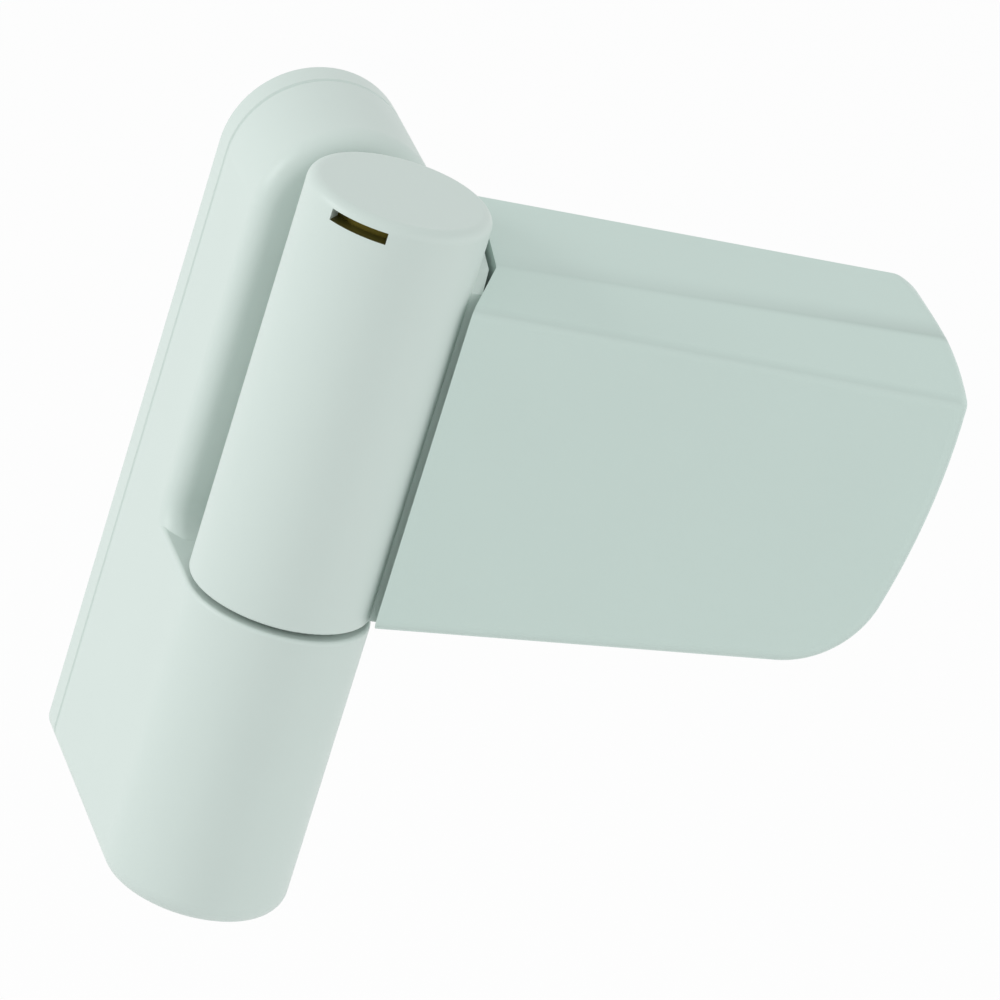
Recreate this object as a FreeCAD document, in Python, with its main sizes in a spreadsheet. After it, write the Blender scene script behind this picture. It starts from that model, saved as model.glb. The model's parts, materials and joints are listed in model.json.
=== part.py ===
import FreeCAD, Part
import os
import Sketcher

# A flag hinge for a rebated door: an arched frame leaf with a lower knuckle and a fixed pin, and a barrel on
# the pin whose arm carries a flag that is screwed to the door and closed by a clip-on cover.
#
# Every piece is modelled about the hinge axis: X runs towards the flag, Y runs back into the door frame and Z
# runs up the pin. Frame-side pieces count Z from the foot of the leaf, and door-side pieces from the barrel's
# lower end. The placements at the end bring them to one origin, the middle of the face on the door frame.

doc = FreeCAD.newDocument("flag_hinge")
sheet = doc.addObject("Spreadsheet::Sheet", "Sizes")
Vector = FreeCAD.Vector

# Driving dimensions, in millimetres and degrees

DRIVING = (
    ("frame_half_width", 11.3, "half the width of the frame leaf, and the knuckle's nose radius"),
    ("leaf_height", 91.2, "foot to crown of the frame leaf"),
    ("axis_to_frame", 33.9, "hinge axis to the face on the door frame"),
    ("packer_thickness", 3.6, "plate between the leaf and the door frame"),
    ("leaf_setback", 14.3, "hinge axis to the arched leaf's front face"),
    ("leaf_edge_round", 2.6, "rounding of the arched leaf's front edge"),
    ("knuckle_height", 38.5, "foot to the top of the lower knuckle"),
    ("cove_radius", 4, "hollow between the leaf's front face and the knuckle's top"),
    ("cove_sweep", 75, "angle that the hollow turns through"),
    ("cove_run_end", 1, "hinge axis back to the end of the hollow's straight run, inside the knuckle"),
    ("foot_round", 2.5, "rounding of the knuckle's lower edge"),
    ("lip_round", 0.5, "small rounding of edges beside a gap"),
    ("seam_round", 0.35, "edge break on both sides of the packer's seam"),
    ("barrel_radius", 11, "outside of the barrel"),
    ("barrel_height", 51.9, "barrel with its cap"),
    ("washer_thickness", 0.8, "washer between knuckle and barrel"),
    ("washer_radius", 8.6, "outside of that washer"),
    ("pin_radius", 5, "hinge pin"),
    ("pin_top", 39.7, "barrel's lower end to the upper end of the pin"),
    ("pin_foot", 11, "foot of the leaf to the lower end of the pin"),
    ("pin_chamfer", 0.6, "chamfer on the pin's ends, and the depth of its groove"),
    ("running_clearance", 0.05, "pin to bush, all round"),
    ("seat_clearance", 0.04, "pieces seated in a bore, all round"),
    ("loose_clearance", 0.2, "pieces that drop in beside a wall"),
    ("bush_wall", 2.4, "wall of both bushes"),
    ("lower_bush_length", 19, "bush at the barrel's lower end"),
    ("upper_bush_length", 17, "bush at the barrel's upper end"),
    ("bush_shoulder", 3, "land between the two bushes"),
    ("land_clearance", 1, "pin to that land, all round"),
    ("bush_flange_radius", 9, "flange of the lower bush"),
    ("bush_flange_thickness", 1.5, "flange of the lower bush"),
    ("disc_thickness", 3, "thrust disc on the pin's upper end"),
    ("collar_flange_radius", 9, "flange of the adjuster collar"),
    ("collar_flange_thickness", 1.4, "flange of the adjuster collar"),
    ("collar_socket", 4, "half the corner width of the collar's key socket"),
    ("collar_socket_depth", 4, "depth of the collar's key socket"),
    ("cap_height", 2.6, "cap on the barrel"),
    ("cap_edge_round", 1.4, "rounding of the cap's top edge"),
    ("slot_width", 7.3, "slot in the cap's rim"),
    ("slot_height", 1.4, "slot in the cap's rim"),
    ("slot_bearing", 40, "slot's turn from the front of the barrel, away from the flag"),
    ("height_screw_length", 7, "screw below the pin"),
    ("key_socket", 2.6, "half the corner width of the screws' key sockets"),
    ("key_socket_depth", 2.6, "depth of the screws' key sockets"),
    ("foot_cap_radius", 6.5, "flange of the cap under the knuckle"),
    ("foot_cap_thickness", 1.2, "flange of the cap under the knuckle"),
    ("foot_cap_stem", 2.4, "stem of the cap under the knuckle"),
    ("lock_screw_radius", 2.5, "screw that holds the pin"),
    ("lock_screw_level", 20, "foot of the leaf to that screw"),
    ("lock_socket", 1.5, "half the corner width of that screw's key socket"),
    ("lock_screw_inset", 0.6, "that screw's outer end below the knuckle's side"),
    ("frame_hole_radius", 2.6, "holes for the screws into the door frame"),
    ("frame_head_radius", 4.6, "countersinks of those holes"),
    ("frame_hole_low", 50, "foot of the leaf to the lower hole"),
    ("frame_hole_pitch", 24, "lower hole to upper hole"),
    ("flag_left", 13.1, "hinge axis to the cover's left wall"),
    ("flag_lip_left", 9.6, "hinge axis to the left edge of the cover's front"),
    ("flag_right", 71.8, "hinge axis to the upper corner of the flag's free end"),
    ("end_lean", 4, "lower corner of the free end, nearer to the axis than the upper one"),
    ("flag_bow", 2.6, "bow of the flag's free end"),
    ("flag_back", 11, "hinge axis back to the door's face"),
    ("flag_front", 7.8, "hinge axis forward to the cover's front"),
    ("flag_rise", -0.2, "barrel's lower end to the flag's lower left corner"),
    ("flag_height", 48.6, "flag's height at its left edge, along the door's face"),
    ("top_taper", 0.015, "fall of the flag's top edge, for each millimetre along it"),
    ("bottom_taper", 0.076, "rise of the flag's lower edge, for each millimetre along it"),
    ("upper_corner_round", 9, "upper corner of the flag's free end"),
    ("lower_corner_round", 12, "lower corner of the flag's free end"),
    ("crease_front", 1.5, "hinge axis forward to the crease between top and bevel, beside the axis"),
    ("crease_drift", 0.03, "backward run of the crease, for each millimetre along it"),
    ("crease_drop", 3.1, "fall of the cover's top from the door's face to the crease"),
    ("bevel_drop", 3.2, "fall of the cover's bevel from the crease to the front"),
    ("cover_wall", 2, "wall of the cover"),
    ("cover_edge_round", 2, "rounding of the cover's edges"),
    ("crease_round", 3, "rounding of the crease between top and bevel"),
    ("base_thickness", 3, "plate on the door"),
    ("arm_thickness", 4.5, "arm on that plate"),
    ("arm_low", 14, "barrel's lower end to the arm's lower edge"),
    ("arm_height", 19, "height of the arm"),
    ("arm_end", 52, "hinge axis to the end of the arm"),
    ("neck_back", 10, "hinge axis to the back of the neck"),
    ("neck_low", 1.2, "barrel's lower end to the lower edge of the neck"),
    ("neck_drop", 2, "barrel's seam to the upper edge of the neck"),
    ("boss_length", 8, "boss at the arm's end"),
    ("boss_height", 13, "boss at the arm's end"),
    ("boss_thickness", 7.1, "boss at the arm's end"),
    ("lateral_radius", 2.5, "screw that shifts the arm"),
    ("lateral_axis", 4.2, "hinge axis back to that screw's own axis"),
    ("lateral_bite", 7, "thread of that screw inside the boss"),
    ("lateral_neck_radius", 2, "neck of that screw"),
    ("lateral_head_radius", 3.5, "head and collar of that screw"),
    ("lateral_head_length", 3, "head of that screw"),
    ("lateral_collar_length", 1.5, "collar of that screw"),
    ("fork_gap", 5, "end of the arm to the fork that holds the screw"),
    ("fork_thickness", 3, "fork that holds the screw"),
    ("fork_height", 13, "fork that holds the screw"),
    ("clamp_radius", 2.5, "screws that clamp the arm"),
    ("clamp_head_radius", 4, "heads of those screws"),
    ("clamp_head_height", 3.2, "heads of those screws"),
    ("clamp_socket_depth", 2, "depth of those screws' key sockets"),
    ("clamp_first", 24, "hinge axis to the first of those screws"),
    ("clamp_pitch", 13, "first to second of those screws"),
    ("clamp_tip", 0.5, "those screws' tips to the door's face"),
    ("clamp_slot_play", 3, "travel of the arm under those screws"),
    ("clamp_washer_radius", 4.8, "washers under those screws"),
    ("clamp_washer_thickness", 1, "washers under those screws"),
    ("door_hole_radius", 2.6, "holes for the screws into the door"),
    ("door_head_radius", 4.4, "countersinks of those holes"),
    ("door_hole_first", 20, "hinge axis to the first pair of those holes"),
    ("door_hole_pitch", 36, "first pair to second pair"),
    ("door_hole_low", 8.2, "barrel's lower end to the lower pair"),
    ("door_hole_rise", 30.8, "lower pair to upper pair"),
    ("head_depth", 2, "depth of every countersink"),
    ("clip_thickness", 1.4, "clips that hold the cover"),
    ("clip_length", 8, "clips that hold the cover"),
    ("clip_reach", 5, "clips that hold the cover, forward of the plate"),
    ("clip_first", 34, "hinge axis to the clips"),
    ("cut_margin", 2, "overrun of cutting shapes"),
)

# Sizes that follow from the driving dimensions

DERIVED = (
    ("body_back", "=axis_to_frame - packer_thickness"),
    ("arch_level", "=leaf_height - frame_half_width"),
    ("cove_reach", "=cove_radius * (1 - cos(cove_sweep * 1deg))"),
    ("cove_rise", "=cove_radius * sin(cove_sweep * 1deg)"),
    ("cove_foot", "=leaf_setback - cove_reach"),
    ("cove_run_fall", "=(cove_foot - cove_run_end) / tan(cove_sweep * 1deg)"),
    ("barrel_foot", "=knuckle_height + washer_thickness"),
    ("barrel_body", "=barrel_height - cap_height"),
    ("pin_bore", "=pin_radius + seat_clearance"),
    ("bush_bore", "=pin_radius + running_clearance"),
    ("bush_radius", "=bush_bore + bush_wall"),
    ("barrel_bore", "=bush_radius + seat_clearance"),
    ("upper_seat", "=lower_bush_length + bush_shoulder"),
    ("pin_length", "=barrel_foot + pin_top - pin_foot"),
    ("disc_top", "=pin_top + disc_thickness"),
    ("neck_height", "=barrel_body - neck_drop - neck_low"),
    ("arm_front", "=flag_back - base_thickness - arm_thickness"),
    ("base_front", "=flag_back - base_thickness"),
    ("arm_middle", "=arm_low + arm_height / 2"),
    ("flag_top", "=flag_rise + flag_height"),
    ("bevel_slope", "=bevel_drop / (flag_front - crease_front)"),
    ("crease_slope", "=crease_drop / (flag_back + crease_front)"),
    ("lip_slope", "=(flag_left - flag_lip_left) / (flag_front - crease_front)"),
    ("outline_left", "=flag_lip_left - cut_margin"),
    ("base_inset", "=cover_wall + loose_clearance"),
    ("base_left", "=flag_left + base_inset"),
    ("fork_left", "=arm_end + fork_gap"),
    ("washer_front", "=arm_front - clamp_washer_thickness"),
)


def fill_sheet():
    row = 0
    for alias, value, note in DRIVING:
        row += 1
        sheet.set(f"A{row}", note)
        sheet.set(f"B{row}", str(value))
        sheet.setAlias(f"B{row}", alias)
    for alias, formula in DERIVED:
        row += 1
        sheet.set(f"A{row}", alias.replace("_", " "))
        sheet.set(f"B{row}", formula)
        sheet.setAlias(f"B{row}", alias)
    doc.recompute()


fill_sheet()


def linked(text):
    """The formula with each size's name turned into a link to its cell."""
    known = {row[0] for row in DRIVING + DERIVED}
    words = []
    word = ""
    for letter in text + " ":
        if letter.isalnum() or letter == "_":
            word += letter
            continue
        words.append("Sizes." + word if word in known else word)
        words.append(letter)
        word = ""
    return "".join(words).strip()


def value_of(text):
    return float(sheet.evalExpression(linked(text)))


def bind(thing, name, text):
    thing.setExpression(name, linked(text))


def new_body(label):
    body = doc.addObject("PartDesign::Body", label)
    body.Label = label
    return body


def plane_of(body, role):
    return next(each for each in body.Origin.OriginFeatures if each.Role == role)


def attach(feature, body, role, at=("0", "0", "0")):
    feature.AttachmentSupport = (plane_of(body, role), [""])
    feature.MapMode = "FlatFace"
    for axis, text in zip("xyz", at):
        bind(feature, f"AttachmentOffset.Base.{axis}", text)


def new_sketch(body, name, role, level="0"):
    sketch = body.newObject("Sketcher::SketchObject", name)
    attach(sketch, body, role, ("0", "0", level))
    return sketch


def pin_point(sketch, edge, end, across, along):
    """Tie one end of a sketch edge to two sizes, measured from the sketch's origin."""
    for kind, text in (("DistanceX", across), ("DistanceY", along)):
        datum = Sketcher.Constraint(kind, -1, 1, edge, end, value_of(text))
        number = sketch.addConstraint(datum)
        bind(sketch, f"Constraints[{number}]", text)


def corner_vector(corner):
    return Vector(value_of(corner[0]), value_of(corner[1]), 0)


def draw(sketch, corners, arcs=()):
    """A closed outline through the corners. Arcs gives a corner's number the way in which the edge after it
    bends: a point that it passes through, and one distance that ties its centre. A sketch counts an arc's
    ends against the clock, so an arc that was drawn with the clock has its ends the other way round."""
    arcs = dict(arcs)
    count = len(corners)
    places = [corner_vector(corner) for corner in corners]
    for number in range(count):
        start = places[number]
        end = places[(number + 1) % count]
        if number in arcs:
            middle = corner_vector(arcs[number][0])
            sketch.addGeometry(Part.Arc(start, middle, end))
        else:
            sketch.addGeometry(Part.LineSegment(start, end))
    turned = {number for number in arcs if sketch.Geometry[number].Axis.z < 0}
    for number in range(count):
        after = (number + 1) % count
        tail = 1 if number in turned else 2
        head = 2 if after in turned else 1
        sketch.addConstraint(Sketcher.Constraint("Coincident", number, tail, after, head))
        pin_point(sketch, after, head, *corners[after])
    for number, (_, kind, text) in arcs.items():
        datum = sketch.addConstraint(Sketcher.Constraint(kind, -1, 1, number, 3, value_of(text)))
        bind(sketch, f"Constraints[{datum}]", text)


def pad(body, sketch, length, both_ways=False):
    feature = body.newObject("PartDesign::Pad", sketch.Name + "_pad")
    feature.Profile = sketch
    feature.Midplane = both_ways
    bind(feature, "Length", length)
    return feature


def cut_through(body, sketch):
    doc.recompute()
    before = body.Tip.Shape.Volume
    feature = body.newObject("PartDesign::Pocket", sketch.Name + "_cut")
    feature.Profile = sketch
    feature.Type = "ThroughAll"
    feature.Midplane = True
    doc.recompute()
    if not feature.Shape.Volume < before:
        raise RuntimeError(feature.Name + " cuts nothing")
    return feature


def turn(body, name, corners):
    """A turned piece: its half section, as radius and height, spun round the upright axis."""
    sketch = new_sketch(body, name, "XZ_Plane")
    draw(sketch, corners)
    feature = body.newObject("PartDesign::Revolution", name + "_turned")
    feature.Profile = sketch
    feature.ReferenceAxis = (sketch, ["V_Axis"])
    feature.Angle = 360
    return feature


DIRECTIONS = {
    "up": FreeCAD.Rotation(),
    "right": FreeCAD.Rotation(Vector(0, 1, 0), 90),
    "back": FreeCAD.Rotation(Vector(1, 0, 0), -90),
}


def block(body, kind, name, sizes, at, direction="up"):
    """Add or cut a plain solid whose own upright axis runs in one of the three directions."""
    feature = body.newObject("PartDesign::" + kind, name)
    feature.AttachmentOffset = FreeCAD.Placement(Vector(), DIRECTIONS[direction])
    attach(feature, body, "XY_Plane", at)
    for size, text in sizes.items():
        bind(feature, size, text)
    return feature


def rod(body, kind, name, radius, length, at, direction="up"):
    return block(body, kind + "Cylinder", name, {"Radius": radius, "Height": length}, at, direction)


def bar(body, kind, name, lengths, at):
    sizes = dict(zip(("Length", "Width", "Height"), lengths))
    return block(body, kind + "Box", name, sizes, at)


def cone(body, kind, name, radii, length, at, direction="up"):
    sizes = {"Radius1": radii[0], "Radius2": radii[1], "Height": length}
    return block(body, kind + "Cone", name, sizes, at, direction)


def key_socket(body, name, width, depth, at, direction="up"):
    sizes = {"Circumradius": width, "Height": depth}
    feature = block(body, "SubtractivePrism", name, sizes, at, direction)
    feature.Polygon = 6
    return feature


def edges_of(body, wanted):
    doc.recompute()
    shape = body.Tip.Shape
    return [f"Edge{number}" for number, edge in enumerate(shape.Edges, 1) if wanted(edge)]


def dress(body, kind, name, size, wanted):
    """Round or chamfer the edges that the test picks out."""
    names = edges_of(body, wanted)
    if not names:
        raise RuntimeError(name + " finds no edge")
    base = body.Tip
    feature = body.newObject("PartDesign::" + kind, name)
    feature.Base = (base, names)
    bind(feature, "Radius" if kind == "Fillet" else "Size", size)
    return feature


NEAR = 1e-4


def lies_at(edge, axis, level):
    """All of the edge lies in one plane square to the axis."""
    low = getattr(edge.BoundBox, axis + "Min")
    high = getattr(edge.BoundBox, axis + "Max")
    return abs(low - level) < NEAR and abs(high - level) < NEAR


def middle_of(edge):
    return edge.valueAt((edge.FirstParameter + edge.LastParameter) / 2)


def arched_leaf():
    """The upright leaf behind the barrel, with the hollow that runs down to the knuckle's top."""
    body = new_body("arched_leaf")
    side = new_sketch(body, "side_profile", "YZ_Plane")
    cove_middle = (
        "leaf_setback - cove_radius * (1 - cos(cove_sweep * 0.5deg))",
        "knuckle_height + cove_rise - cove_radius * sin(cove_sweep * 0.5deg)",
    )
    draw(
        side,
        (
            ("body_back", "0"),
            ("body_back", "leaf_height"),
            ("leaf_setback", "leaf_height"),
            ("leaf_setback", "knuckle_height + cove_rise"),
            ("cove_foot", "knuckle_height"),
            ("cove_run_end", "knuckle_height - cove_run_fall"),
            ("cove_run_end", "0"),
        ),
        {3: (cove_middle, "DistanceY", "knuckle_height + cove_rise")},
    )
    pad(body, side, "2 * frame_half_width", both_ways=True)
    crown = new_sketch(body, "crown", "XZ_Plane")
    draw(
        crown,
        (
            ("frame_half_width", "arch_level"),
            ("-frame_half_width", "arch_level"),
            ("-frame_half_width - cut_margin", "arch_level"),
            ("-frame_half_width - cut_margin", "leaf_height + cut_margin"),
            ("frame_half_width + cut_margin", "leaf_height + cut_margin"),
            ("frame_half_width + cut_margin", "arch_level"),
        ),
        {0: (("0", "leaf_height"), "DistanceY", "arch_level")},
    )
    cut_through(body, crown)
    front = value_of("leaf_setback")
    knuckle = value_of("knuckle_height")
    half = value_of("frame_half_width")

    def leaf_edge(edge):
        box = edge.BoundBox
        on_front = lies_at(edge, "Y", front) and box.ZMax > knuckle + NEAR and box.ZLength > NEAR
        on_cove = edge.Curve.TypeId == "Part::GeomCircle" and abs(abs(middle_of(edge).x) - half) < NEAR
        return on_front or on_cove

    dress(body, "Fillet", "leaf_edge", "leaf_edge_round", leaf_edge)
    return body


def frame_body():
    body = new_body("frame_body")
    nose = new_sketch(body, "knuckle", "XY_Plane")
    draw(
        nose,
        (
            ("-frame_half_width", "0"),
            ("frame_half_width", "0"),
            ("frame_half_width", "leaf_setback + cove_radius"),
            ("-frame_half_width", "leaf_setback + cove_radius"),
        ),
        {0: (("0", "-frame_half_width"), "DistanceY", "0")},
    )
    pad(body, nose, "knuckle_height")
    knuckle = value_of("knuckle_height")

    def lip_edge(edge):
        return lies_at(edge, "Z", knuckle) and edge.Curve.TypeId == "Part::GeomCircle"

    dress(body, "Fillet", "knuckle_lip", "lip_round", lip_edge)
    leaf = arched_leaf()
    join = body.newObject("PartDesign::Boolean", "leaf_join")
    join.Type = "Fuse"
    join.setObjects([leaf])

    def foot_edge(edge):
        return lies_at(edge, "Z", 0) and middle_of(edge).y < value_of("body_back") - NEAR

    dress(body, "Fillet", "foot_edge", "foot_round", foot_edge)

    def seam_edge(edge):
        return lies_at(edge, "Y", value_of("body_back")) and middle_of(edge).z > value_of("foot_round")

    dress(body, "Chamfer", "seam_edge", "seam_round", seam_edge)
    rod(body, "Subtractive", "pin_bore", "pin_bore", "knuckle_height", ("0", "0", "0"))
    cap_seat = "foot_cap_radius + seat_clearance"
    rod(body, "Subtractive", "cap_seat", cap_seat, "foot_cap_thickness", ("0", "0", "0"))
    at_lock = ("0", "0", "lock_screw_level")
    lock_hole = "lock_screw_radius + seat_clearance"
    rod(body, "Subtractive", "lock_hole", lock_hole, "frame_half_width", at_lock, "right")
    leaf_depth = "body_back - leaf_setback"
    for number, level in enumerate(("frame_hole_low", "frame_hole_low + frame_hole_pitch")):
        at_hole = ("0", "leaf_setback", level)
        rod(body, "Subtractive", f"frame_hole_{number}", "frame_hole_radius", leaf_depth, at_hole, "back")
        radii = ("frame_head_radius", "frame_hole_radius")
        cone(body, "Subtractive", f"frame_head_{number}", radii, "head_depth", at_hole, "back")
    return body


def frame_packer():
    body = new_body("frame_packer")
    outline = new_sketch(body, "packer_outline", "XZ_Plane", "-axis_to_frame")
    draw(
        outline,
        (
            ("-frame_half_width", "0"),
            ("frame_half_width", "0"),
            ("frame_half_width", "arch_level"),
            ("-frame_half_width", "arch_level"),
        ),
        {2: (("0", "leaf_height"), "DistanceY", "arch_level")},
    )
    pad(body, outline, "packer_thickness")

    def lower_corner(edge):
        return edge.BoundBox.YLength > NEAR and abs(middle_of(edge).z) < NEAR

    dress(body, "Fillet", "lower_corner", "foot_round", lower_corner)

    def seam_edge(edge):
        return lies_at(edge, "Y", value_of("body_back"))

    dress(body, "Chamfer", "packer_seam", "seam_round", seam_edge)
    for number, level in enumerate(("frame_hole_low", "frame_hole_low + frame_hole_pitch")):
        at_hole = ("0", "body_back", level)
        name = f"packer_hole_{number}"
        rod(body, "Subtractive", name, "frame_hole_radius", "packer_thickness", at_hole, "back")
    return body


def hinge_pin():
    body = new_body("hinge_pin")
    waist = "pin_radius - pin_chamfer"
    groove = "(lock_screw_radius + pin_chamfer)"
    turn(
        body,
        "pin_section",
        (
            ("0", "pin_foot"),
            (waist, "pin_foot"),
            ("pin_radius", "pin_foot + pin_chamfer"),
            ("pin_radius", f"lock_screw_level - {groove}"),
            (waist, f"lock_screw_level - {groove} + pin_chamfer"),
            (waist, f"lock_screw_level + {groove} - pin_chamfer"),
            ("pin_radius", f"lock_screw_level + {groove}"),
            ("pin_radius", "pin_foot + pin_length - pin_chamfer"),
            (waist, "pin_foot + pin_length"),
            ("0", "pin_foot + pin_length"),
        ),
    )
    return body


def height_screw():
    body = new_body("height_screw")
    low = "pin_foot - height_screw_length"
    at_low = ("0", "0", low)
    rod(body, "Additive", "height_screw_shank", "pin_radius", "height_screw_length", at_low)
    ends = (value_of(low), value_of("pin_foot"))

    def end_edge(edge):
        return any(lies_at(edge, "Z", end) for end in ends)

    dress(body, "Chamfer", "height_screw_ends", "pin_chamfer", end_edge)
    key_socket(body, "height_screw_key", "key_socket", "key_socket_depth", at_low)
    return body


def pin_lock_screw():
    body = new_body("pin_lock_screw")
    tip = "(pin_radius - pin_chamfer + seat_clearance)"
    length = f"frame_half_width - lock_screw_inset - {tip}"
    rod(body, "Additive", "lock_shank", "lock_screw_radius", length, (tip, "0", "lock_screw_level"), "right")
    outer = "frame_half_width - lock_screw_inset"
    ends = (value_of(tip), value_of(outer))

    def end_edge(edge):
        return any(lies_at(edge, "X", end) for end in ends)

    dress(body, "Chamfer", "lock_ends", "lip_round", end_edge)
    at_key = (f"{outer} - key_socket_depth", "0", "lock_screw_level")
    key_socket(body, "lock_key", "lock_socket", "key_socket_depth", at_key, "right")
    return body


def bottom_cap():
    body = new_body("bottom_cap")
    turn(
        body,
        "foot_cap_section",
        (
            ("0", "0"),
            ("foot_cap_radius - lip_round", "0"),
            ("foot_cap_radius", "lip_round"),
            ("foot_cap_radius", "foot_cap_thickness"),
            ("pin_radius", "foot_cap_thickness"),
            ("pin_radius", "foot_cap_thickness + foot_cap_stem"),
            ("0", "foot_cap_thickness + foot_cap_stem"),
        ),
    )
    return body


def ring(label, inside, outside, low, height):
    body = new_body(label)
    rod(body, "Additive", label + "_outside", outside, height, ("0", "0", low))
    rod(body, "Subtractive", label + "_inside", inside, height, ("0", "0", low))
    return body


def thrust_washer():
    inside = "pin_radius + loose_clearance"
    return ring("thrust_washer", inside, "washer_radius", "knuckle_height", "washer_thickness")


def barrel_arm():
    body = new_body("barrel_arm")
    rod(body, "Additive", "barrel", "barrel_radius", "barrel_body", ("0", "0", "0"))

    def lower_rim(edge):
        return lies_at(edge, "Z", 0)

    dress(body, "Fillet", "barrel_rim", "seam_round", lower_rim)
    neck_reach = "flag_left - loose_clearance"
    neck_sizes = (neck_reach, "neck_back - arm_front", "neck_height")
    bar(body, "Additive", "neck", neck_sizes, ("0", "arm_front", "neck_low"))
    bar(body, "Additive", "arm", ("arm_end", "arm_thickness", "arm_height"), ("0", "arm_front", "arm_low"))
    at_boss = ("arm_end - boss_length", "base_front - boss_thickness", "arm_middle - boss_height / 2")
    bar(body, "Additive", "boss", ("boss_length", "boss_thickness", "boss_height"), at_boss)
    at_thread = ("arm_end - boss_length", "lateral_axis", "arm_middle")
    thread = "lateral_radius + seat_clearance"
    rod(body, "Subtractive", "lateral_thread", thread, "boss_length", at_thread, "right")
    slot_half = "clamp_radius + loose_clearance"
    for number in range(2):
        centre = f"clamp_first + {number} * clamp_pitch"
        for side, sign in (("near", "-"), ("far", "+")):
            at_end = (f"{centre} {sign} clamp_slot_play", "arm_front", "arm_middle")
            rod(body, "Subtractive", f"slot_{side}_{number}", slot_half, "arm_thickness", at_end, "back")
        at_slot = (f"{centre} - clamp_slot_play", "arm_front", f"arm_middle - ({slot_half})")
        slot_sizes = ("2 * clamp_slot_play", "arm_thickness", f"2 * ({slot_half})")
        bar(body, "Subtractive", f"slot_middle_{number}", slot_sizes, at_slot)
    rod(body, "Subtractive", "land_bore", "pin_radius + land_clearance", "barrel_body", ("0", "0", "0"))
    rod(body, "Subtractive", "lower_bore", "barrel_bore", "lower_bush_length", ("0", "0", "0"))
    upper_depth = "barrel_body - upper_seat"
    rod(body, "Subtractive", "upper_bore", "barrel_bore", upper_depth, ("0", "0", "upper_seat"))
    flange = "bush_flange_radius + seat_clearance"
    rod(body, "Subtractive", "flange_seat", flange, "bush_flange_thickness", ("0", "0", "0"))
    return body


def lower_bush():
    body = new_body("lower_bush")
    turn(
        body,
        "lower_bush_section",
        (
            ("bush_bore", "0"),
            ("bush_flange_radius", "0"),
            ("bush_flange_radius", "bush_flange_thickness"),
            ("bush_radius", "bush_flange_thickness"),
            ("bush_radius", "lower_bush_length"),
            ("bush_bore", "lower_bush_length"),
        ),
    )
    return body


def upper_bush():
    return ring("upper_bush", "bush_bore", "bush_radius", "upper_seat", "upper_bush_length")


def thrust_disc():
    body = new_body("thrust_disc")
    rod(body, "Additive", "disc", "bush_radius", "disc_thickness", ("0", "0", "pin_top"))
    return body


def adjuster_collar():
    body = new_body("adjuster_collar")
    turn(
        body,
        "collar_section",
        (
            ("0", "disc_top"),
            ("bush_radius", "disc_top"),
            ("bush_radius", "barrel_body"),
            ("collar_flange_radius", "barrel_body"),
            ("collar_flange_radius", "barrel_body + collar_flange_thickness"),
            ("0", "barrel_body + collar_flange_thickness"),
        ),
    )
    at_key = ("0", "0", "barrel_body + collar_flange_thickness - collar_socket_depth")
    key_socket(body, "collar_key", "collar_socket", "collar_socket_depth", at_key)
    return body


def barrel_cap():
    body = new_body("barrel_cap")
    rod(body, "Additive", "cap_disc", "barrel_radius", "cap_height", ("0", "0", "barrel_body"))
    top = value_of("barrel_height")
    dress(body, "Fillet", "cap_edge", "cap_edge_round", lambda edge: lies_at(edge, "Z", top))
    recess = "collar_flange_thickness + seat_clearance"
    recess_radius = "collar_flange_radius + seat_clearance"
    rod(body, "Subtractive", "cap_recess", recess_radius, recess, ("0", "0", "barrel_body"))
    slot = new_sketch(body, "rim_slot", "XZ_Plane")
    slot.AttachmentOffset = FreeCAD.Placement(Vector(), FreeCAD.Rotation(Vector(0, 1, 0), 0))
    bind(slot, "AttachmentOffset.Rotation.Angle", "-slot_bearing")
    draw(
        slot,
        (
            ("-slot_width / 2", "barrel_body"),
            ("slot_width / 2", "barrel_body"),
            ("slot_width / 2", "barrel_body + slot_height"),
            ("-slot_width / 2", "barrel_body + slot_height"),
        ),
    )
    feature = body.newObject("PartDesign::Pocket", "rim_slot_cut")
    feature.Profile = slot
    feature.Reversed = True
    bind(feature, "Length", "barrel_radius + cut_margin")
    return body


def draw_flag_outline(sketch, left, inset, top_rise):
    """The flag seen from the front: two tapering edges and a free end that leans and bows, drawn a chosen
    inset inside the cover."""
    high_corner = f"(flag_right - ({inset}))"
    low_corner = f"(flag_right - end_lean - ({inset}))"
    bottom = "flag_rise + ({inset}) + bottom_taper * ({across} - flag_lip_left)"
    top = "flag_top + ({rise}) - ({inset}) - top_taper * ({across} - flag_lip_left)"
    low_left = bottom.format(inset=inset, across=left)
    low_right = bottom.format(inset=inset, across=low_corner)
    high_left = top.format(inset=inset, rise=top_rise, across=left)
    high_right = top.format(inset=inset, rise=top_rise, across=high_corner)
    half_rise = f"((({high_right}) - ({low_right})) / 2)"
    half_lean = "(end_lean / 2)"
    half_chord = f"sqrt({half_rise} * {half_rise} + {half_lean} * {half_lean})"
    bow_radius = f"(({half_chord} * {half_chord} + flag_bow * flag_bow) / (2 * flag_bow))"
    chord_across = f"({high_corner} - {half_lean})"
    chord_level = f"(({high_right}) - {half_rise})"
    bow_middle = (
        f"{chord_across} + flag_bow * {half_rise} / {half_chord}",
        f"{chord_level} - flag_bow * {half_lean} / {half_chord}",
    )
    bow_centre = f"{chord_across} - ({bow_radius} - flag_bow) * {half_rise} / {half_chord}"
    corners = ((left, low_left), (low_corner, low_right), (high_corner, high_right), (left, high_left))
    draw(sketch, corners, {1: (bow_middle, "DistanceX", bow_centre)})


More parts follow.
